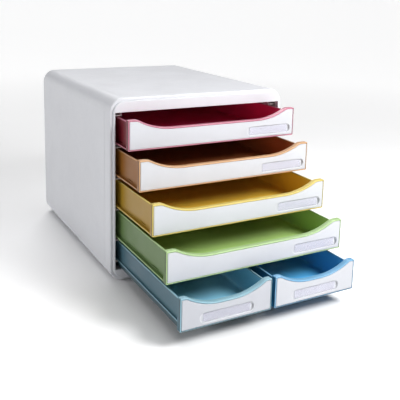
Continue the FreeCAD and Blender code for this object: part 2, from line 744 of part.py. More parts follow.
        # capped plate that clips into the boxed front, with the label pocket in its face
        s = self.s
        piece = self.piece(document, "front_plate")
        gap = s.lip_wall + s.plate_gap
        face = piece.sketch(
            "plate_outline", "XZ_Plane", [self.scoop(gap, s.rim_corner)], s.plate_proud)
        piece.pad("plate", face, s.plate_proud + self.recess, True)
        hollow = piece.sketch(
            "hollow_outline", "XZ_Plane", [self.scoop(gap + s.plate_skirt, s.rim_corner)],
            -s.plate_wall)
        piece.cut("hollow_back", hollow, self.recess - s.plate_wall)
        piece.bevel("plate_bevel", s.plate_edge, lambda reach: reach.lies("y", -s.plate_proud))
        mouth = pill(self.label_start, self.label_end,
                     s.pocket_rise, s.pocket_rise + s.pocket_height)
        pocket = piece.sketch("pocket_outline", "XZ_Plane", [mouth], s.plate_proud)
        piece.cut("label_pocket", pocket, s.pocket_depth)
        notch_end = self.label_end - s.notch_from_end
        middle = s.pocket_rise + s.pocket_height / 2
        notch = block(notch_end - s.notch_length, notch_end,
                      middle - s.notch_height / 2, middle + s.notch_height / 2)
        opening = piece.sketch("notch_outline", "XZ_Plane", [notch], s.plate_proud - s.pocket_depth)
        piece.cut("finger_notch", opening, s.plate_wall)
        return piece

    def insert(self, document, name, grow, thickness, lift):
        # card or clear cover in the label pocket; lift is its distance off the pocket floor
        s = self.s
        piece = self.piece(document, name)
        start = self.label_start + s.card_from_end - grow
        low = s.pocket_rise + s.card_margin - grow
        shape = block(start, start + s.card_length + grow * 2,
                      low, s.pocket_rise + s.pocket_height - s.card_margin + grow)
        drawing = piece.sketch(
            "insert_outline", "XZ_Plane", [shape], s.plate_proud - s.pocket_depth + lift)
        piece.pad("insert", drawing, thickness)
        return piece

    def pieces(self, document):
        s = self.s
        return [
            self.tray(document),
            self.front_plate(document),
            self.insert(document, "label_card", NOUGHT, s.card_thickness, NOUGHT),
            self.insert(document, "label_window", s.window_overlap, s.window_thickness,
                        s.card_thickness)]


def main():
    document = FreeCAD.newDocument("drawer_set")
    s = Sizes(document)
    pieces = [
        shell_half(document, s, "top_cover", True), base_shell(document, s),
        back_panel(document, s), centre_divider(document, s)]
    for name, sign in SIDES:
        pieces.append(side_panel(document, s, name, sign))
        pieces.append(runner_panel(document, s, name, sign))
    pieces.extend(feet(document, s))
    for row in range(1, ROWS + 1):
        for side in ((None,) if row <= WIDE_ROWS else SIDES):
            pieces.extend(Drawer(s, row, side).pieces(document))
    document.recompute()
    for item in document.Objects:
        if {"Invalid", "Error"} & set(item.State):
            raise ValueError(item.Label + " did not compute")
    os.makedirs("parts", exist_ok=True)
    for piece in pieces:
        shape = piece.body.Shape
        if shape.isNull() or not shape.isValid() or len(shape.Solids) != 1:
            raise ValueError(piece.body.Label + " is not one sound solid")
        shape.exportStep("parts/" + piece.body.Label + ".step")


main()
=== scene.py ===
"""Looks of a desktop drawer set: light casing, six coloured drawers, soft studio light."""

import logging
import math
from dataclasses import dataclass, field
from enum import Enum
from typing import Sequence

import bmesh
import bpy
from mathutils import Matrix, Vector

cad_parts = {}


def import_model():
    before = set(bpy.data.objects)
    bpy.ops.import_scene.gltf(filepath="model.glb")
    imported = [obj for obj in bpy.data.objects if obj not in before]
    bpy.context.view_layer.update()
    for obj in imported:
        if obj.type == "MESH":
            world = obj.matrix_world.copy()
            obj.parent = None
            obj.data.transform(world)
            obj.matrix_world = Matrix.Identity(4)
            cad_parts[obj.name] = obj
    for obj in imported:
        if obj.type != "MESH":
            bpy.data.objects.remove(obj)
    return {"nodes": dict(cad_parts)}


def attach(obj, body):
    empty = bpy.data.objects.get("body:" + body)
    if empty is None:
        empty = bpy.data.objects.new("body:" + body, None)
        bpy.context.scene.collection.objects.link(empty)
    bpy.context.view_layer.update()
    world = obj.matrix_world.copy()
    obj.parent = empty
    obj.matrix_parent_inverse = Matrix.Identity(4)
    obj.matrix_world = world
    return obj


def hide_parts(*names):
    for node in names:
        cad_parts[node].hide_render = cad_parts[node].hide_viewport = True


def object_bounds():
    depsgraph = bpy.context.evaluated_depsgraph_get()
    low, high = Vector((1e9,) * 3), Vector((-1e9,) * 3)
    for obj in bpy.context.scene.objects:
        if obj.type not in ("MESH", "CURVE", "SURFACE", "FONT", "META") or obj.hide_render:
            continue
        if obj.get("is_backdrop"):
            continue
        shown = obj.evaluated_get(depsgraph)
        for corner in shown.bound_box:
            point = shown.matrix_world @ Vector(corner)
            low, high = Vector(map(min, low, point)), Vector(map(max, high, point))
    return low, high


LOG = logging.getLogger("drawer_set")
MM = 0.001  # metres in a millimetre, the unit of the sizes below
FLAT = 0.2  # millimetres between a rounded edge and the flat cap beside it
LEAST_BEND = 0.2  # keeps the corner of an inset outline from running away

# names of the shares that a mesh keeps on its points: a painted highlight on rims and edges, the
# inside's lit colour against the outside's painted shade, and painted shade
RIM = "rim"
INSIDE = "inside"
SHADE = "shade"
SHADE_DEPTH = 0.7  # how dark a fully shaded point is
# the rim's tone is a painted highlight, kept in part on the rounding behind the front and on the
# first points of the rim's rounding; along the right side the rim takes painted shade
REAR_RIM = 0.8  # share of the rim's tone behind the front
SIDE_SHADE = 0.8  # shade of the rim along a front's right side
SIDE_POINTS = 2  # points of the rim's rounding that keep the side's tone

# sockets of a Mix node that mixes colours
MIX_FACTOR, MIX_FIRST, MIX_SECOND, MIX_RESULT = 0, 6, 7, 2

Colour = tuple[float, float, float]
Place = tuple[float, float, float]
Point = tuple[float, float]
Loop = list[Place]
Share = tuple[float, float, float]  # rim, inside, shade
Values = dict[str | int, object]  # by a socket's name or number
# shares of a point: the outside in its painted shade, the lit inside, the painted rim highlight,
# and painted shade
OUTSIDE: Share = (0.0, 0.0, 0.0)
WITHIN: Share = (0.0, 1.0, 0.0)
EDGE: Share = (1.0, 0.0, 0.0)
SHADED: Share = (0.0, 0.0, 1.0)


class Sheet:
    """The node tree of one material or of the world, with one way to add any node."""

    def __init__(self, owner: bpy.types.Material | bpy.types.World) -> None:
        """Starts an empty node tree.

        Args:
            owner: What the tree belongs to.
        """
        self.owner = owner
        owner.use_nodes = True
        self.tree = owner.node_tree
        self.tree.nodes.clear()

    def node(self, kind: str, settings: dict[str, object] | None = None,
             values: Values | None = None) -> bpy.types.Node:
        """Adds one node.

        Args:
            kind: Type of the node, as Blender names it.
            settings: Properties to set first.
            values: Numbers, colours or links for its input sockets.

        Returns:
            The new node.
        """
        made = self.tree.nodes.new(kind)
        for key, value in (settings or {}).items():
            setattr(made, key, value)
        for key, value in (values or {}).items():
            self.feed(made.inputs[key], value)
        return made

    def feed(self, socket: bpy.types.NodeSocket, value: object) -> None:
        """Links a value into a socket, or sets it there.

        Args:
            socket: The input socket.
            value: A wire, an output socket, a colour or a number.
        """
        if isinstance(value, Wire):
            self.tree.links.new(value.socket, socket)
        elif isinstance(value, bpy.types.NodeSocket):
            self.tree.links.new(value, socket)
        elif isinstance(value, tuple) and len(value) == 3 and socket.type == "RGBA":
            socket.default_value = (*value, 1.0)
        else:
            socket.default_value = value

    def wire(self, made: bpy.types.Node, name: str | int = 0) -> "Wire":
        """Wraps an output socket of a node, by its name or number."""
        return Wire(self, made.outputs[name])

    def blend(self, factor: object, low: object, high: object, mode: str = "MIX") -> "Wire":
        """Mixes two colours.

        Args:
            factor: Share of the second colour, as a number or a wire.
            low: First colour.
            high: Second colour.
            mode: How they mix, as Blender names it.

        Returns:
            The mixed colour.
        """
        made = self.node("ShaderNodeMix", {"data_type": "RGBA", "blend_type": mode},
                         {MIX_FACTOR: factor, MIX_FIRST: low, MIX_SECOND: high})
        return self.wire(made, MIX_RESULT)

    def painted(self, name: str) -> "Wire":
        """Reads a share that the mesh keeps on its points, 0 where it has none."""
        return self.wire(self.node("ShaderNodeAttribute", {"attribute_name": name}), "Fac")

    def shaded(self, colour: object, shade: Colour) -> "Wire":
        """Darkens a colour by a tone where the mesh is painted as shaded."""
        return self.blend(self.painted(SHADE) * SHADE_DEPTH, colour, shade, "MULTIPLY")

    def noise(self, scale: float, detail: float, stretch: Place = (1.0, 1.0, 1.0)) -> "Wire":
        """Adds cloudy noise in the object's own metres.

        Args:
            scale: Clouds per metre.
            detail: Octaves of finer clouds.
            stretch: Scale along each axis.

        Returns:
            The noise value, about 0.5 in the middle.
        """
        place = self.node("ShaderNodeTexCoord").outputs["Object"]
        mapped = self.node("ShaderNodeMapping", {}, {"Vector": place, "Scale": stretch})
        made = self.node("ShaderNodeTexNoise", {}, {
            "Vector": mapped.outputs[0], "Scale": scale, "Detail": detail, "Roughness": 0.55})
        return self.wire(made, "Fac")

    def edges(self, reach: float) -> "Wire":
        """Finds the sharp edges of a mesh, where hands rub it and a painted sheen lies.

        Args:
            reach: How far an edge's mark spreads, in metres.

        Returns:
            1 on an edge, 0 on a face.
        """
        soft = self.node("ShaderNodeBevel", {"samples": 4}, {"Radius": reach})
        true = self.node("ShaderNodeNewGeometry")
        turn = self.node("ShaderNodeVectorMath", {"operation": "DOT_PRODUCT"},
                         {0: soft.outputs["Normal"], 1: true.outputs["Normal"]})
        return (1.0 - self.wire(turn, "Value")).ramp(low=0.02, high=0.2)

    def bump(self, height: "Wire", depth: float, below: object | None = None) -> "Wire":
        """Turns a height into a normal.

        Args:
            height: The height, 0 to 1.
            depth: Real depth in metres for a height of 1.
            below: Normal of a coarser bump underneath.

        Returns:
            The bumped normal.
        """
        values: Values = {"Strength": 1.0, "Distance": depth, "Height": height}
        if below is not None:
            values["Normal"] = below
        return self.wire(self.node("ShaderNodeBump", {}, values))

    def finish(self, values: Values) -> bpy.types.Material:
        """Closes the tree with a Principled shader.

        Args:
            values: Inputs of the shader.

        Returns:
            The finished material.
        """
        shader = self.node("ShaderNodeBsdfPrincipled", {}, values)
        self.node("ShaderNodeOutputMaterial", {}, {"Surface": shader.outputs[0]})
        return self.owner


class Wire:
    """An output socket that takes part in arithmetic."""

    def __init__(self, sheet: Sheet, socket: bpy.types.NodeSocket) -> None:
        """Wraps a socket of a sheet."""
        self.sheet = sheet
        self.socket = socket

    def _join(self, operation: str, first: object, second: object) -> "Wire":
        """Joins two operands by one Math node."""
        made = self.sheet.node("ShaderNodeMath", {"operation": operation}, {0: first, 1: second})
        return self.sheet.wire(made)

    def __add__(self, other: object) -> "Wire":
        """Sum."""
        return self._join("ADD", self, other)

    def __radd__(self, other: object) -> "Wire":
        """Sum, reflected."""
        return self._join("ADD", other, self)

    def __sub__(self, other: object) -> "Wire":
        """Difference."""
        return self._join("SUBTRACT", self, other)

    def __rsub__(self, other: object) -> "Wire":
        """Difference, reflected."""
        return self._join("SUBTRACT", other, self)

    def __mul__(self, other: object) -> "Wire":
        """Product."""
        return self._join("MULTIPLY", self, other)

    def __rmul__(self, other: object) -> "Wire":
        """Product, reflected."""
        return self._join("MULTIPLY", other, self)

    def ramp(self, low: float, high: float) -> "Wire":
        """Spreads a stretch of values over 0 to 1, and clamps the rest.

        Args:
            low: Value that becomes 0.
            high: Value that becomes 1.

        Returns:
            The spread value.
        """
        made = self.sheet.node("ShaderNodeMapRange", {"clamp": True},
                               {"Value": self, "From Min": low, "From Max": high})
        return self.sheet.wire(made)


@dataclass(frozen=True)
class MouldedPlastic:
    """Injection-moulded plastic: fine spark-eroded grain, faint flow marks, handled gloss, edges
    both worn and lit by a painted sheen, and painted shade and highlight where the mesh is marked.
    """

    name: str
    colour: Colour
    # inside: the lit colour of the inside, the colour above being the outside in painted shade;
    # rim: a painted highlight on rims and edges; shade: the tone of painted shade
    inside: Colour | None = None
    rim: Colour | None = None
    roughness: float = 0.36
    dust: Colour = (0.86, 0.85, 0.85)
    shade: Colour = (0.22, 0.25, 0.24)
    worn_and_sheen: Colour = (0.80, 0.80, 0.80)
    flow_dust: float = 0.4
    mottle_dust: float = 0.2
    smudge_roughness: float = 0.12
    grain_depth: float = 0.02 * MM
    sink_depth: float = 0.3 * MM
    rub_and_sheen_reach: float = 0.9 * MM
    rub_and_sheen_colour: float = 0.3
    rub_gloss: float = 0.1

    def build(self) -> bpy.types.Material:
        """Makes the material.

        Returns:
            The material.
        """
        sheet = Sheet(bpy.data.materials.new(self.name))
        colour: object = self.colour
        # the outside is darker than the inside by painted shade, the rims are paler by a painted
        # highlight, and marked points take painted shade
        if self.inside is not None:
            colour = sheet.blend(sheet.painted(INSIDE), colour, self.inside)
        if self.rim is not None:
            colour = sheet.blend(sheet.painted(RIM), colour, self.rim)
        colour = sheet.shaded(colour, self.shade)
        flow = sheet.noise(scale=9.0, detail=2.0, stretch=(1.0, 0.35, 1.0)).ramp(low=0.3, high=0.75)
        mottle = sheet.noise(scale=120.0, detail=3.0).ramp(low=0.2, high=0.8)
        smudge = sheet.noise(scale=26.0, detail=4.0).ramp(low=0.42, high=0.72)
        grain = sheet.noise(scale=2600.0, detail=2.0)
        sink = sheet.noise(scale=5.0, detail=1.0)
        # sharp edges lighter and glossier: wear, with a painted sheen
        rubbed_and_sheen = sheet.edges(self.rub_and_sheen_reach) * smudge
        dull = sheet.blend(flow * self.flow_dust + mottle * self.mottle_dust, colour, self.dust,
                           "MULTIPLY")
        gloss = rubbed_and_sheen * self.rub_gloss
        return sheet.finish({
            "Base Color": sheet.blend(rubbed_and_sheen * self.rub_and_sheen_colour, dull, self.worn_and_sheen),
            "Roughness": smudge * self.smudge_roughness - gloss + self.roughness,
            "Normal": sheet.bump(grain, self.grain_depth, sheet.bump(sink, self.sink_depth)),
        })


@dataclass(frozen=True)
class CardStock:
    """Blank paper card with a short fibre."""

    name: str
    colour: Colour
    fibre: Colour
    # shade: the tone of the painted shade on the card
    shade: Colour
    roughness: float = 0.8
    fibre_roughness: float = 0.1
    fibre_tone: float = 0.4
    cloud_tone: float = 0.4
    fibre_depth: float = 0.03 * MM

    def build(self) -> bpy.types.Material:
        """Makes the material.

        Returns:
            The material.
        """
        sheet = Sheet(bpy.data.materials.new(self.name))
        fibre = sheet.noise(scale=900.0, detail=5.0, stretch=(1.0, 1.0, 4.0))
        cloud = sheet.noise(scale=60.0, detail=2.0)
        tone = fibre.ramp(low=0.3, high=0.8) * self.fibre_tone + cloud * self.cloud_tone
        return sheet.finish({
            "Base Color": sheet.shaded(sheet.blend(tone, self.colour, self.fibre), self.shade),
            "Roughness": fibre * self.fibre_roughness + self.roughness,
            "Normal": sheet.bump(fibre, self.fibre_depth),
        })


@dataclass(frozen=True)
class ClearCover:
    """Thin clear plastic in front of a label."""

    name: str
    clear: Colour = (0.86, 0.87, 0.93)
    hazy: Colour = (0.80, 0.81, 0.90)
    roughness: float = 0.08
    haze_roughness: float = 0.1
    alpha: float = 0.10
    haze_alpha: float = 0.06
    wave_depth: float = 0.4 * MM

    def build(self) -> bpy.types.Material:
        """Makes the material.

        Returns:
            The material.
        """
        sheet = Sheet(bpy.data.materials.new(self.name))
        haze = sheet.noise(scale=70.0, detail=3.0)
        return sheet.finish({
            "Base Color": sheet.blend(haze, self.clear, self.hazy),
            "Roughness": haze * self.haze_roughness + self.roughness,
            "Alpha": haze * self.haze_alpha + self.alpha,
            "Normal": sheet.bump(sheet.noise(scale=12.0, detail=1.0), self.wave_depth),
        })


@dataclass(frozen=True)
class SoftRubber:
    """Dull dark rubber with dust in its pores."""

    name: str
    colour: Colour = (0.02, 0.02, 0.021)
    dust: Colour = (0.06, 0.058, 0.055)
    roughness: float = 0.75
    pore_roughness: float = 0.15
    pore_depth: float = 0.08 * MM

    def build(self) -> bpy.types.Material:
        """Makes the material.

        Returns:
            The material.
        """
        sheet = Sheet(bpy.data.materials.new(self.name))
        pores = sheet.noise(scale=700.0, detail=4.0)
        dusty = sheet.noise(scale=150.0, detail=3.0).ramp(low=0.45, high=0.8)
        return sheet.finish({
            "Base Color": sheet.blend(dusty, self.colour, self.dust),
            "Roughness": pores * self.pore_roughness + self.roughness,
            "Normal": sheet.bump(pores, self.pore_depth),
        })


@dataclass(frozen=True)
class StudioPaper:
    """Pale seamless paper under the object, lit from within further away."""

    name: str
    colour: Colour
    tooth_tone: float = 0.985
    tooth_depth: float = 0.03 * MM
    unlit: Colour = (0.0, 0.0, 0.0)
    glow: Colour = (0.22, 0.22, 0.22)
    glow_start: float = 0.8
    glow_full: float = 2.2

    def build(self) -> bpy.types.Material:
        """Makes the material.

        Returns:
            The material.
        """
        sheet = Sheet(bpy.data.materials.new(self.name))
        tooth = sheet.noise(scale=400.0, detail=3.0)
        shade = tuple(part * self.tooth_tone for part in self.colour)
        place = sheet.node("ShaderNodeTexCoord").outputs["Object"]
        away = sheet.node("ShaderNodeVectorMath", {"operation": "LENGTH"}, {0: place})
        lit = sheet.wire(away, "Value").ramp(low=self.glow_start, high=self.glow_full)
        return sheet.finish({
            "Base Color": sheet.blend(tooth, self.colour, shade),
            "Roughness": 0.9,
            "Specular IOR Level": 0.1,
            "Emission Color": sheet.blend(lit, self.unlit, self.glow),
            "Emission Strength": 1.0,
            "Normal": sheet.bump(tooth, self.tooth_depth),
        })


@dataclass(frozen=True)
class Chords:
    """Number of chords along each kind of arc."""

    edge: int = 3
    corner: int = 4
    rim: int = 5
    cove: int = 6
    brow: int = 8
    rear: int = 9
    toe: int = 12
    notch: int = 14
    pocket: int = 20

    @property
    def scoop(self) -> int:
        """Points along one half of a front's scooped lip."""
        return self.brow + 1 + self.toe


CHORDS = Chords()


def arc(middle: Point, radius: float, first: float, last: float, steps: int) -> list[Point]:
    """Points along an arc, both ends included.

    Args:
        middle: Centre of the arc.
        radius: Its radius.
        first: Angle of the first point, in degrees.
        last: Angle of the last point.
        steps: Number of chords.

    Returns:
        The points.
    """
    points = []
    for step in range(steps + 1):
        angle = math.radians(first + (last - first) * step / steps)
        points.append((middle[0] + radius * math.cos(angle), middle[1] + radius * math.sin(angle)))
    return points


def mirrored(line: Sequence[Point]) -> list[Point]:
    """Mirrors a line from side to side, and turns its order round."""
    return [(-x, y) for x, y in reversed(line)]


def mitred(outline: Sequence[Point], inset: float) -> list[Point]:
    """Moves the sides of a counter-clockwise outline inwards.

    Args:
        outline: Corners of the outline.
        inset: How far each side moves in.

    Returns:
        The corners of the smaller outline, as many as before.
    """
    moved = []
    count = len(outline)
    for index, (x, y) in enumerate(outline):
        before = Vector((x - outline[index - 1][0], y - outline[index - 1][1])).normalized()
        after_point = outline[(index + 1) % count]
        after = Vector((after_point[0] - x, after_point[1] - y)).normalized()
        bend = (before + after).normalized()
        length = inset / max(bend.dot(after), LEAST_BEND)
        moved.append((x - bend.y * length, y + bend.x * length))
    return moved


def placed(name: str, data: bpy.types.ID) -> bpy.types.Object:
    """Puts a new object into the scene.

    Args:
        name: Name of the object.
        data: Its mesh, camera or light.

    Returns:
        The object.
    """
    made = bpy.data.objects.new(name, data)
    bpy.context.scene.collection.objects.link(made)
    return made


@dataclass
class Skin:
    """A mesh in the making; points come in a piece's own millimetres."""

    origin: Place = (0.0, 0.0, 0.0)
    mesh: bmesh.types.BMesh = field(default_factory=bmesh.new)
    sharp: float = 40.0
    weight: int = 80

    def ring(self, points: Loop, shares: Sequence[Share]) -> list[bmesh.types.BMVert]:
        """Adds the vertices of one loop.

        Args:
            points: The loop, in millimetres from the origin.
            shares: How much each point takes the painted rim highlight, the inside's lit colour,
                and painted shade.

        Returns:
            The vertices.
        """
        layers = self.mesh.verts.layers.float
        kept = [layers.get(name) or layers.new(name) for name in (RIM, INSIDE, SHADE)]
        ring = []
        for point, share in zip(points, shares):
            vertex = self.mesh.verts.new([(own + far) * MM
                                          for own, far in zip(point, self.origin)])
            for layer, value in zip(kept, share):
                vertex[layer] = value
            ring.append(vertex)
        return ring

    def loft(self, loops: Sequence[Loop], closed: bool = True,
             shares: Sequence[Sequence[Share]] | None = None) -> list[list[bmesh.types.BMVert]]:
        """Joins loops of equal length with quads.

        Args:
            loops: The loops, in order.
            closed: Whether each loop runs round to its start.
            shares: Shares along each loop, none where left out.

        Returns:
            The rings of vertices.
        """
        count = len(loops[0])
        shares = shares or [[OUTSIDE] * count] * len(loops)
        rings = [self.ring(loop, share) for loop, share in zip(loops, shares)]
        for first, second in zip(rings, rings[1:]):
            for index in range(count if closed else count - 1):
                after = (index + 1) % count
                self.mesh.faces.new((first[index], first[after], second[after], second[index]))
        return rings

    def cap(self, *rings: Sequence[bmesh.types.BMVert]) -> None:
        """Fills the flat face inside an outer ring, around any rings within it.

        Args:
            rings: The bounding rings.
        """
        edges = []
        for ring in rings:
            for index, vertex in enumerate(ring):
                pair = (vertex, ring[(index + 1) % len(ring)])
                edges.append(self.mesh.edges.get(pair) or self.mesh.edges.new(pair))
        bmesh.ops.triangle_fill(self.mesh, edges=edges, use_beauty=True)

    def solid(self, loops: Sequence[Loop], shares: Sequence[Sequence[Share]]) -> None:
        """Lofts closed loops and caps both ends.

        Args:
            loops: The loops, in order.
            shares: Shares along each loop.
        """
        rings = self.loft(loops, True, shares)
        self.cap(rings[0])
        self.cap(rings[-1])

    def slab(self, outline: Sequence[Point], low: float, high: float, edge: float,
             upright: bool = False, rim: float = 0.0, shade: float = 0.0) -> None:
        """Adds a flat piece with rounded edges.

        Args:
            outline: Its counter-clockwise outline.
            low: First face.
            high: Second face.
            edge: Rounding of its edges.
            upright: Whether it stands with its faces ahead and behind.
            rim: Share of the painted rim highlight on its upper edge.
            shade: How much painted shade the whole piece takes.
        """
        loops = []
        for inset, height in round_section(low, high, edge):
            loops.append([(x, height, y) if upright else (x, y, height)
                          for x, y in mitred(outline, inset)])
        plain = [(0.0, 0.0, shade)] * len(outline)
        upper = [(rim, 0.0, shade)] * len(outline)
        rounded = CHORDS.edge + 1
        self.solid(loops, [plain] * (1 + rounded) + [upper] * rounded + [plain])

    def piece(self, name: str, material: bpy.types.Material) -> bpy.types.Object:
        """Turns the mesh into an object.

        Args:
            name: Name of the object.
            material: Its finish.

        Returns:
            The object.
        """
        bmesh.ops.recalc_face_normals(self.mesh, faces=self.mesh.faces[:])
        data = bpy.data.meshes.new(name)
        self.mesh.to_mesh(data)
        self.mesh.free()
        data.shade_smooth()
        data.set_sharp_from_angle(angle=math.radians(self.sharp))
        data.materials.append(material)
        made = placed(name, data)
        weigh = made.modifiers.new("flat faces stay flat", "WEIGHTED_NORMAL")
        weigh.keep_sharp = True
        weigh.weight = self.weight
        return made


def round_section(low: float, high: float, edge: float) -> list[Point]:
    """Inset and height of the loops of a slab with rounded edges.

    Args:
        low: Height of one face.
        high: Height of the other.
        edge: Rounding.

    Returns:
        Pairs of inset and height, from the low face to the high one.
    """
    lower = arc((edge, low + edge), edge, 270, 180, CHORDS.edge)
    upper = arc((edge, high - edge), edge, 180, 90, CHORDS.edge)
    return [(edge + FLAT, low)] + lower + upper + [(edge + FLAT, high)]


class Hue(Enum):
    """The drawers from the top down: end of the node names, outer, inner and rim colour; the outer
    colour is the inner one darkened by painted shade, and the paler rim colour is a painted
    highlight.
    """

    CRIMSON = ("1", (0.145, 0.007, 0.015), (0.80, 0.045, 0.17), (0.50, 0.18, 0.25))
    ORANGE = ("2", (0.26, 0.10, 0.015), (0.58, 0.18, 0.06), (0.56, 0.33, 0.17))
    YELLOW = ("3", (0.35, 0.205, 0.018), (0.95, 0.62, 0.07), (0.60, 0.48, 0.12))
    GREEN = ("4", (0.112, 0.185, 0.062), (0.46, 0.71, 0.22), (0.36, 0.52, 0.24))
    LIGHT_BLUE = ("5_left", (0.058, 0.132, 0.172), (0.27, 0.62, 0.82), (0.24, 0.42, 0.50))
    BLUE = ("5_right", (0.02, 0.17, 0.36), (0.11, 0.50, 0.92), (0.17, 0.38, 0.58))

    @property
    def tag(self) -> str:
        """End of the drawer's node names."""
        return self.value[0]

    @property
    def slot(self) -> str:
        """Name of the tray's finish."""
        return "tray_" + self.name.lower()

    def finish(self) -> bpy.types.Material:
        """Makes the tray's finish."""
        outside, inside, rim = self.value[1:]
        return MouldedPlastic(self.slot, outside, inside, rim, roughness=0.32).build()


@dataclass(frozen=True)
class FrontLine:
    """The front of a drawer seen from ahead: flat shoulders and a scooped lip."""

    half: float
    shoulder: float
    low_share: float
    brow: float
    height: float = 42.5
    dip: float = 14.025

    def outline(self, inset: float, corner: float) -> list[Point]:
        """Counter-clockwise outline, always with the same number of points.

        Args:
            inset: How far inside the front's edge the line runs.
            corner: Rounding of its four corners.

        Returns:
            The points across and up.
        """
        low_x = self.half * self.low_share
        brow_x = self.half - self.shoulder
        run = brow_x - low_x
        roll = (run * run + self.dip * self.dip) / (self.dip * 2)
        toe = roll - self.brow + inset
        top = self.height - inset
        low = top - self.dip
        side = self.half - inset
        lean = math.degrees(math.atan2(self.dip - roll, run))
        brow_middle = (brow_x, top - self.brow + inset)
        right = arc((side - corner, inset + corner), corner, -90, 0, CHORDS.corner)
        right += arc((side - corner, top - corner), corner, 0, 90, CHORDS.corner)
        right += arc(brow_middle, self.brow - inset, 90, 180 + lean, CHORDS.brow)
        right += arc((low_x, low + toe), toe, lean, -90, CHORDS.toe)[1:]
        return right + mirrored(right)

    @staticmethod
    def turning() -> list[float]:
        """How far round a corner each of its points lies, 0 to 1."""
        return [step / CHORDS.corner for step in range(CHORDS.corner + 1)]

    def upper(self) -> list[float]:
        """How much each point of the outline belongs to its upper edge.

        Returns:
            The share of each point, 0 to 1.
        """
        turning = self.turning()
        right = [0.0] * len(turning) + turning + [1.0] * CHORDS.scoop
        return right + right[::-1]

    def dimmed(self, low: float, side: float) -> list[float]:
        """How much each point of the outline is shaded.

        Args:
            low: Shade along the lower edge, 0 to 1.
            side: Shade along the right side.

        Returns:
            The shade of each point.
        """
        turning = self.turning()
        right = [low + (side - low) * turn for turn in turning]
        right += [side * (1.0 - turn) for turn in turning]
        rest = [0.0] * CHORDS.scoop
        left = [0.0] * len(turning) + [low * (1.0 - turn) for turn in reversed(turning)]
        return right + rest + rest + left


@dataclass(frozen=True)
class FrontSizes:
    """Boxed front, front plate and label, in millimetres."""

    depth: float = 8.0
    rim: float = 2.0
    recess: float = 6.0
    corner: float = 1.5
    least_corner: float = 0.35
    rim_round: float = 0.9
    line_end: float = 2.8
    back_round: float = 0.7
    back_inset: float = 0.3
    recess_run: float = 0.6
    plate_gap: float = 0.2
    plate_proud: float = 0.4
    plate_round: float = 0.6
    plate_corner: float = 0.8
    pocket_rise: float = 5.8
    pocket_height: float = 12.4
    pocket_length: float = 76.0
    pocket_depth: float = 1.6
    pocket_round: float = 1.0
    notch_length: float = 5.0
    notch_turn: float = 56.0
    notch_from_end: float = 0.7
    notch_depth: float = 4.4
    card_length: float = 67.0
    card_margin: float = 0.8
    card_from_end: float = 4.5
    card_thickness: float = 0.4
    card_corner: float = 0.8
    cover_corner: float = 1.0
    insert_round: float = 0.12
    cover_overlap: float = 0.3
    cover_thickness: float = 0.7
    air: float = 0.05


@dataclass(frozen=True)
class TubSizes:
    """Tub behind the front, in millimetres."""

    length: float = 335.0
    wall: float = 2.0
    floor: float = 2.0
    corner: float = 7.0
    least_corner: float = 0.8
    straight: float = 60.0
    top: float = 37.5
    cove: float = 2.8
    wall_round: float = 0.85
    lip_run: float = 0.8
    keel_round: float = 0.5
    flange: float = 2.0
    flange_round: float = 0.35
    ear_low: float = 259.0
    ear_high: float = 265.0
    ear_reach: float = 138.0
    catch_low: float = 34.0
    catch_high: float = 50.0
    catch_rise: float = 1.6
    catch_height: float = 2.6
    catch_depth: float = 1.2
    catch_round: float = 0.2
    catch_clear: float = 1.0


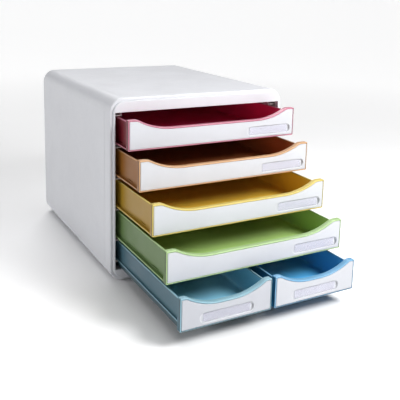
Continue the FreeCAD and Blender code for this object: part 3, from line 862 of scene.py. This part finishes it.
@dataclass(frozen=True)
class Drawer:
    """One drawer: tray, front plate, label card and clear cover."""

    hue: Hue
    line: FrontLine
    centre: float
    front: float
    under: float
    set_in: float
    flange_gap: float
    flange_rise: float
    pocket_end: float
    sides_with_ear: tuple[int, ...]
    # painted shade of the lower rim, and of the plate, card and cover
    low_shade: float = 0.0
    plate_shade: float = 0.0
    face: FrontSizes = FrontSizes()
    tub: TubSizes = TubSizes()

    @property
    def body(self) -> str:
        """Name of the body that the drawer's pieces ride on."""
        return "drawer_" + self.hue.tag

    @property
    def wall_face(self) -> float:
        """Outer face of the side walls, from the drawer's middle."""
        return self.line.half - self.set_in

    @property
    def wall_start(self) -> float:
        """Where the side walls begin, inside the front's back."""
        return (self.face.recess + self.face.depth) / 2

    def skin(self) -> Skin:
        """Starts a mesh at the front, bottom middle of the drawer."""
        return Skin((self.centre, self.front, self.under))

    def front_loops(self, section: Sequence[Point], corner: float) -> list[Loop]:
        """Loops of the front's outline.

        Args:
            section: Pairs of inset and depth.
            corner: Corner rounding at no inset.

        Returns:
            The loops.
        """
        loops = []
        for inset, depth in section:
            line = self.line.outline(inset, max(corner - inset, self.face.least_corner))
            loops.append([(x, depth, z) for x, z in line])
        return loops

    def boxed_front(self, skin: Skin) -> None:
        """Adds the coloured front with its rounded rim and the recess for the plate.

        Args:
            skin: The mesh to add to.
        """
        face = self.face
        back, rim = face.back_round, face.rim_round
        upper = self.line.upper()
        # the rear face takes the inside's lit colour; the outer faces take the painted rim
        # highlight on top, and painted shade on their sides and bottom near the front; the rim
        # takes the painted highlight, with painted shade along the right side and, on the half
        # drawers, along the bottom
        inner, plain = [WITHIN] * len(upper), [OUTSIDE] * len(upper)
        rear = [(top * REAR_RIM, 0.0, 0.0) for top in upper]
        side = [(top, 0.0, 1.0 - top) for top in upper]
        pale = [(1.0, 0.0, dim) for dim in self.line.dimmed(self.low_shade, SIDE_SHADE)]
        behind = arc((back, face.depth - back), back, 90, 180, CHORDS.corner)
        turn = arc((rim, rim), rim, 180, 270, CHORDS.rim)
        turn += arc((face.rim - rim, rim), rim, -90, 0, CHORDS.rim)
        rows = [(back + face.back_inset, face.depth, inner)]
        rows += [(*row, rear) for row in behind]
        rows += [(0.0, face.line_end + FLAT, rear), (0.0, face.line_end, side)]
        rows += [(0.0, rim + FLAT, side)] + [(*row, side) for row in turn[:SIDE_POINTS]]
        rows += [(*row, pale) for row in turn[SIDE_POINTS:]]
        rows += [(face.rim, rim + face.recess_run, plain), (face.rim, face.recess, plain)]
        loops = self.front_loops([(inset, depth) for inset, depth, _ in rows], face.corner)
        skin.solid(loops, [shares for _, _, shares in rows])

    def plan_line(self, inset: float) -> list[Point]:
        """Open line of the tub's walls from above: left front, rear corners, right front.

        Args:
            inset: How far inside the walls' outer face it runs.

        Returns:
            The points across and back.
        """
        side = self.wall_face - inset
        rear = self.tub.length - inset
        corner = max(self.tub.corner - inset, self.tub.least_corner)
        left = [(-side, self.wall_start), (-side, self.wall_start + self.tub.straight)]
        left += arc((-side + corner, rear - corner), corner, 180, 90, CHORDS.rear)
        return left + mirrored(left)

    def wall_section(self) -> list[tuple[float, float, Share]]:
        """Goes round the wall, from the underside to the floor.

        Returns:
            Inset, height and shares of each line.
        """
        tub = self.tub
        keel, lip, cove = tub.keel_round, tub.wall_round, tub.cove
        below = tub.top - lip
        # on the half drawers the wall below the flange takes painted shade
        painted_shade_below = SHADED if self.flange_rise else OUTSIDE
        section = [(keel + FLAT, 0.0, painted_shade_below)]
        section += [(*row, painted_shade_below) for row in arc((keel, keel), keel, -90, -180, CHORDS.edge)]
        if self.flange_rise:
            section += [(0.0, self.flange_rise, painted_shade_below),
                        (0.0, self.flange_rise + tub.flange, OUTSIDE)]
        section += [(0.0, below - tub.lip_run, OUTSIDE)]
        over = arc((lip, below), lip, 180, 90, CHORDS.rim)
        over += arc((tub.wall - lip, below), lip, 90, 0, CHORDS.rim)
        # the rounded wall top takes the painted rim highlight, and the inner wall and floor take
        # the inside's lit colour
        section += [(*row, EDGE) for row in over]
        down = [(tub.wall, below - tub.lip_run)]
        down += arc((tub.wall + cove, tub.floor + cove), cove, 180, 270, CHORDS.cove)
        down += [(tub.wall + cove + FLAT, tub.floor)]
        return section + [(*row, WITHIN) for row in down]

    def walls(self, skin: Skin) -> None:
        """Adds the tub: walls with rounded rims, coved floor, rounded rear corners.

        Args:
            skin: The mesh to add to.
        """
        section = self.wall_section()
        loops = [[(x, y, height) for x, y in self.plan_line(inset)]
                 for inset, height, _ in section]
        shares = [[share] * len(loops[0]) for _, _, share in section]
        rings = skin.loft(loops, False, shares)
        skin.cap(rings[0])
        skin.cap(rings[-1])
        skin.cap([ring[0] for ring in rings])
        skin.cap([ring[-1] for ring in rings])
        skin.cap([rings[0][0], rings[0][-1], rings[-1][-1], rings[-1][0]])

    def flanges(self, skin: Skin) -> None:
        """Adds the running flanges with their stop ears.

        Args:
            skin: The mesh to add to.
        """
        tub = self.tub
        edge = self.line.half - self.flange_gap
        root = self.wall_face - tub.wall / 2
        for sign in (-1, 1):
            line = [(root, self.wall_start), (edge, self.wall_start)]
            if sign in self.sides_with_ear:
                reach = tub.ear_reach - self.centre * sign
                line += [(edge, tub.ear_low), (reach, tub.ear_low), (reach, tub.ear_high),
                         (edge, tub.ear_high)]
            line += [(edge, tub.length - tub.corner), (root, tub.length - tub.corner)]
            # the flange's upper edge takes the painted rim highlight
            skin.slab(line if sign > 0 else mirrored(line), self.flange_rise,
                      self.flange_rise + tub.flange, tub.flange_round, rim=1.0)

    def catch_cutters(self) -> Skin:
        """Makes the two boxes that cut the catch recesses into the side walls.

        Returns:
            The mesh of both boxes.
        """
        tub = self.tub
        low = self.flange_rise + tub.flange + tub.catch_rise
        inner, outer = self.wall_face - tub.catch_depth, self.wall_face + tub.catch_clear
        line = [(inner, tub.catch_low), (outer, tub.catch_low), (outer, tub.catch_high),
                (inner, tub.catch_high)]
        skin = self.skin()
        for side in (mirrored(line), line):
            skin.slab(side, low, low + tub.catch_height, tub.catch_round)
        return skin

    def tray(self, material: bpy.types.Material) -> bpy.types.Object:
        """Builds the moulded tray.

        Args:
            material: Its finish.

        Returns:
            The tray.
        """
        skin = self.skin()
        self.walls(skin)
        if self.flange_rise == 0.0:
            skin = self.with_catches(skin, material)
        self.boxed_front(skin)
        self.flanges(skin)
        return skin.piece("moulded_tray_" + self.hue.tag, material)

    def with_catches(self, skin: Skin, material: bpy.types.Material) -> Skin:
        """Cuts the catch recesses into the tub's side walls.

        Args:
            skin: The tub.
            material: Its finish.

        Returns:
            The tub with its recesses.
        """
        cutter = self.catch_cutters().piece("catch_cutter", material)
        tub = skin.piece("tub", material)
        cut = tub.modifiers.new("catches", "BOOLEAN")
        cut.operation = "DIFFERENCE"
        cut.solver = "EXACT"
        cut.object = cutter
        tub.modifiers.move(tub.modifiers.find("catches"), 0)
        shape = bpy.data.meshes.new_from_object(
            tub.evaluated_get(bpy.context.evaluated_depsgraph_get()))
        for spare in (cutter, tub):
            bpy.data.objects.remove(spare)
        whole = self.skin()
        whole.mesh.from_mesh(shape)
        bpy.data.meshes.remove(shape)
        return whole

    def plate(self, material: bpy.types.Material) -> bpy.types.Object:
        """Builds the front plate with its label pocket.

        Args:
            material: Its finish.

        Returns:
            The plate.
        """
        face = self.face
        gap, edge, mouth = face.rim + face.plate_gap, face.plate_round, face.pocket_round
        proud, seat = -face.plate_proud, face.pocket_depth - face.plate_proud
        skin = self.skin()
        section = [(gap, face.recess), (gap, edge + proud)]
        section += arc((gap + edge, edge + proud), edge, 180, 270, CHORDS.corner)[1:]
        section += [(gap + edge + FLAT, proud)]
        loops = self.front_loops(section, gap + face.plate_corner)
        # the plate's painted shade, also on the pocket's mouth
        tone = (0.0, 0.0, self.plate_shade)
        outer = skin.loft(loops, True, [[tone] * len(loops[0])] * len(loops))
        skin.cap(outer[0])
        section = [(-mouth - FLAT, proud)]
        section += arc((-mouth, mouth + proud), mouth, -90, 0, CHORDS.corner)
        section += [(0.0, seat)]
        loops = [[(x, depth, z) for x, z in self.pocket_line(inset)] for inset, depth in section]
        tones = [tone] + [OUTSIDE] * (len(loops) - 1)
        pocket = skin.loft(loops, True, [[tone] * len(loops[0]) for tone in tones])
        notch = skin.loft([[(x, depth, z) for x, z in self.notch_line()]
                           for depth in (seat, seat + face.notch_depth)])
        skin.cap(outer[-1], pocket[0])
        skin.cap(pocket[-1], notch[0])
        skin.cap(notch[-1])
        return skin.piece("plain_front_plate_" + self.hue.tag, material)

    def pocket_line(self, inset: float) -> list[Point]:
        """Outline of the label pocket, with half round ends.

        Args:
            inset: How far inside the pocket's wall the line runs.

        Returns:
            The points across and up.
        """
        face = self.face
        radius = face.pocket_height / 2
        middle = face.pocket_rise + radius
        right = arc((self.pocket_end - radius, middle), radius - inset, -90, 90, CHORDS.pocket)
        left = arc((self.pocket_end - face.pocket_length + radius, middle), radius - inset,
                   90, 270, CHORDS.pocket)
        return right + left

    def notch_line(self) -> list[Point]:
        """Outline of the finger notch, a crescent along the right end of the pocket.

        Returns:
            The points across and up.
        """
        face = self.face
        radius = face.pocket_height / 2
        middle = (self.pocket_end - radius, face.pocket_rise + radius)
        outer = arc(middle, radius - face.notch_from_end, -face.notch_turn, face.notch_turn,
                    CHORDS.notch)
        inner = (middle[0] - face.notch_length, middle[1])
        turn = math.degrees(math.atan2(outer[-1][1] - inner[1], outer[-1][0] - inner[0]))
        reach = math.dist(inner, outer[-1])
        return outer + arc(inner, reach, turn, -turn, CHORDS.notch)[1:-1]

    def insert(self, name: str, grow: float, corner: float, low: float, high: float,
               material: bpy.types.Material) -> bpy.types.Object:
        """Builds the card or the cover that lies in the label pocket.

        Args:
            name: Start of its name.
            grow: How far it reaches beyond the card.
            corner: Rounding of its corners.
            low: Front face.
            high: Rear face.
            material: Its finish.

        Returns:
            The insert.
        """
        face = self.face
        left = self.pocket_end - face.pocket_length + face.card_from_end - grow
        right = left + face.card_length + grow * 2
        down = face.pocket_rise + face.card_margin - grow
        up = face.pocket_rise + face.pocket_height - face.card_margin + grow
        middles = ((right - corner, down + corner), (right - corner, up - corner),
                   (left + corner, up - corner), (left + corner, down + corner))
        line = []
        for quarter, middle in enumerate(middles):
            line += arc(middle, corner, 90 * quarter - 90, 90 * quarter, CHORDS.corner)
        skin = self.skin()
        # the card and cover take the plate's painted shade
        skin.slab(line, low, high, face.insert_round, upright=True, shade=self.plate_shade)
        return skin.piece(name + self.hue.tag, material)

    def build(self, plate: bpy.types.Material, card: bpy.types.Material,
              cover: bpy.types.Material) -> None:
        """Builds, dresses and places the whole drawer.

        Args:
            plate: Finish of the front plate.
            card: Finish of the label card.
            cover: Finish of the clear cover.
        """
        face = self.face
        seat = face.pocket_depth - face.plate_proud
        card_face = seat - face.card_thickness
        cover_face = card_face - face.cover_thickness
        tray = self.tray(self.hue.finish())
        front = self.plate(plate)
        label = self.insert("blank_card_", 0.0, face.card_corner, card_face, seat - face.air, card)
        window = self.insert("clear_cover_", face.cover_overlap, face.cover_corner, cover_face,
                             card_face - face.air, cover)
        pieces = (
            (tray, "tray_", self.hue.slot),
            (front, "front_plate_", "plate_white"),
            (label, "label_card_", "card"),
            (window, "label_window_", "clear_cover"),
        )
        for piece, node, slot in pieces:
            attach(piece, self.body)
            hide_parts(node + self.hue.tag)
            LOG.info("%s rides on %s", piece.name, self.body)


@dataclass(frozen=True)
class DrawerStack:
    """All six drawers, each where it stands open."""

    wide: FrontLine = FrontLine(half=135.5, shoulder=10.5, low_share=0.517, brow=15.0)
    narrow: FrontLine = FrontLine(half=65.15, shoulder=6.5, low_share=0.13, brow=10.0)
    narrow_centre: float = 67.65
    fronts: tuple[float, ...] = (-217.3, -254.2, -296.5, -337.6, -371.5)
    unders: tuple[float, ...] = (205.5, 159.5, 113.5, 67.5, 21.5)

    def drawers(self) -> list[Drawer]:
        """Lists the drawers.

        Returns:
            The drawers, from the top down.
        """
        drawers = []
        for row, hue in enumerate((Hue.CRIMSON, Hue.ORANGE, Hue.YELLOW, Hue.GREEN)):
            drawers.append(Drawer(
                hue, self.wide, centre=0.0, front=self.fronts[row], under=self.unders[row],
                set_in=6.0, flange_gap=1.5, flange_rise=0.0, pocket_end=128.5,
                sides_with_ear=(-1, 1)))
        # the lower plates in painted shade: the left one darker, the right one a little
        for side, hue, shade in ((-1, Hue.LIGHT_BLUE, 0.28), (1, Hue.BLUE, 0.1)):
            drawers.append(Drawer(
                hue, self.narrow, centre=self.narrow_centre * side, front=self.fronts[-1],
                under=self.unders[-1], set_in=4.0, flange_gap=1.2, flange_rise=9.0,
                pocket_end=38.0, sides_with_ear=(side,), low_shade=1.0, plate_shade=shade))
        return drawers


@dataclass(frozen=True)
class Casing:
    """The casing's own solids, dressed."""

    nodes: dict[str, bpy.types.Object]

    def dress(self, name: str, material: bpy.types.Material) -> None:
        """Gives one node a finish.

        Args:
            name: Name of the node.
            material: Its finish.
        """
        slots = self.nodes[name].material_slots
        if not slots:
            self.nodes[name].data.materials.append(material)
        for slot in slots:
            slot.material = material
        LOG.info("%s wears %s", name, material.name)

    def build(self) -> None:
        """Dresses the shell, the linings and the feet."""
        white = MouldedPlastic("casing_white", (0.65, 0.66, 0.695))
        # the linings' white, darkened by painted shade and tinted pink by a painted reflection of
        # the trays
        lining = MouldedPlastic("lining_white", (0.42, 0.38, 0.38), roughness=0.5)
        shell, inside, rubber = white.build(), lining.build(), SoftRubber("foot_rubber").build()
        for name in ("top_cover", "base_shell", "side_panel_left", "side_panel_right",
                     "back_panel"):
            self.dress(name, shell)
        for name in ("runner_panel_left", "runner_panel_right", "centre_divider"):
            self.dress(name, inside)
        for name in ("middle", "front_left", "front_right", "back_left", "back_right"):
            self.dress("foot_" + name, rubber)


@dataclass(frozen=True)
class Studio:
    """Camera, lights, surroundings and floor, in metres and degrees."""

    place: Place = (-0.44722, -0.97964, 0.41476)
    azimuth: float = 28.508
    elevation: float = 10.393
    roll: float = 1.253
    focal_px: float = 632.14
    middle: Point = (196.58, 110.0)
    frame_px: float = 400.0
    sensor: float = 36.0
    sight: float = 300.0
    aim: Place = (0.0, -0.15, 0.12)
    reach: float = 100.0
    horizon: Colour = (1.0, 1.0, 1.0)
    sky: Colour = (0.06, 0.06, 0.06)
    horizon_top: float = 0.06
    sky_bottom: float = 0.17

    def camera(self) -> None:
        """Sets up the camera at the photograph's angle."""
        data = bpy.data.cameras.new("camera")
        data.sensor_width = self.sensor
        data.sensor_fit = "HORIZONTAL"
        data.lens = self.focal_px / self.frame_px * self.sensor
        half = self.frame_px / 2
        data.shift_x = (half - self.middle[0]) / self.frame_px
        data.shift_y = (self.middle[1] - half) / self.frame_px
        data.clip_end = self.sight
        lens = placed("camera", data)
        turn, tilt, roll = map(math.radians, (self.azimuth, self.elevation, self.roll))
        ahead = Vector((math.sin(turn) * math.cos(tilt), math.cos(turn) * math.cos(tilt),
                        -math.sin(tilt)))
        right = Vector((math.cos(turn), -math.sin(turn), 0.0))
        over = right.cross(ahead)
        side = right * math.cos(roll) + over * math.sin(roll)
        top = -right * math.sin(roll) + over * math.cos(roll)
        turned = Matrix((side, top, -ahead)).transposed()
        lens.matrix_world = Matrix.Translation(Vector(self.place)) @ turned.to_4x4()
        bpy.context.scene.camera = lens

    @staticmethod
    def hang(data: bpy.types.Light, place: Vector, aim: Vector) -> None:
        """Hangs a light so that it looks at a point.

        Args:
            data: The light.
            place: Where it hangs.
            aim: The point.
        """
        lamp = placed(data.name, data)
        lamp.location = place
        lamp.rotation_euler = (aim - place).to_track_quat("-Z", "Y").to_euler()

    def far(self, name: str, towards: Place, power: float, spread: float) -> None:
        """Adds one distant soft light.

        Args:
            name: Name of the lamp.
            towards: Direction from the object to the lamp.
            power: Watts on each square metre that faces it.
            spread: Angle that it fills, in degrees.
        """
        data = bpy.data.lights.new(name, "SUN")
        data.energy = power
        data.angle = math.radians(spread)
        self.hang(data, Vector(towards), Vector())

    def near(self, name: str, place: Place, power: float, size: float) -> None:
        """Adds one round light close to the object.

        Args:
            name: Name of the lamp.
            place: Where it hangs, in metres.
            power: Its watts.
            size: Its diameter, in metres.
        """
        data = bpy.data.lights.new(name, "AREA")
        data.energy = power
        data.shape = "DISK"
        data.size = size
        self.hang(data, Vector(place), Vector(self.aim))

    def light(self) -> None:
        """Hangs the lights."""
        self.near("key", place=(0.44, -0.88, 0.80), power=12.6, size=0.5)
        self.near("fill", place=(-0.44, -0.98, 0.43), power=0.37, size=0.12)
        self.far("above", towards=(0.0, 0.0, 1.0), power=1.1, spread=50.0)
        self.far("left", towards=(-0.88, 0.30, 0.35), power=0.80, spread=14.0)
        self.far("rear", towards=(0.2, 0.8, 0.8), power=1.2, spread=30.0)
        bpy.context.scene.view_settings.view_transform = "Standard"

    def surroundings(self) -> None:
        """Sets the surroundings, bright along the horizon and dim above."""
        world = bpy.data.worlds.new("studio")
        bpy.context.scene.world = world
        sheet = Sheet(world)
        place = sheet.node("ShaderNodeTexCoord")
        parts = sheet.node("ShaderNodeSeparateXYZ", {}, {0: place.outputs["Generated"]})
        height = sheet.wire(parts, "Z").ramp(low=self.horizon_top, high=self.sky_bottom)
        glow = sheet.node("ShaderNodeBackground", {},
                          {"Color": sheet.blend(height, self.horizon, self.sky)})
        sheet.node("ShaderNodeOutputWorld", {}, {"Surface": glow.outputs[0]})

    def floor(self) -> None:
        """Lays the floor, and says that it's no part of the object."""
        mesh = bpy.data.meshes.new("floor")
        corners = [(x * self.reach, y * self.reach, 0.0)
                   for x, y in ((-1, -1), (1, -1), (1, 1), (-1, 1))]
        mesh.from_pydata(corners, [], [range(len(corners))])
        floor = placed("floor", mesh)
        mesh.materials.append(StudioPaper("studio_paper", (0.96, 0.96, 0.965)).build())
        floor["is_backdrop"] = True
        LOG.info("%s lies under the object", floor.name)


def main() -> None:
    """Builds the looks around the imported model."""
    logging.basicConfig(level=logging.INFO, format="%(message)s")
    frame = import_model()
    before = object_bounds()
    studio = Studio()
    studio.camera()
    studio.light()
    studio.surroundings()
    studio.floor()
    Casing(frame["nodes"]).build()
    # the last tones of the plate and card are those of their painted shade
    plate = MouldedPlastic("plate_white", (0.565, 0.58, 0.615), roughness=0.30,
                           shade=(0.21, 0.22, 0.29)).build()
    card = CardStock("card", (0.53, 0.53, 0.61), (0.49, 0.49, 0.57), (0.0, 0.01, 0.07)).build()
    cover = ClearCover("clear_cover").build()
    for drawer in DrawerStack().drawers():
        drawer.build(plate, card, cover)
    [[list(corner) for corner in box] for box in (before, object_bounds())]


if __name__ == "__main__":
    main()
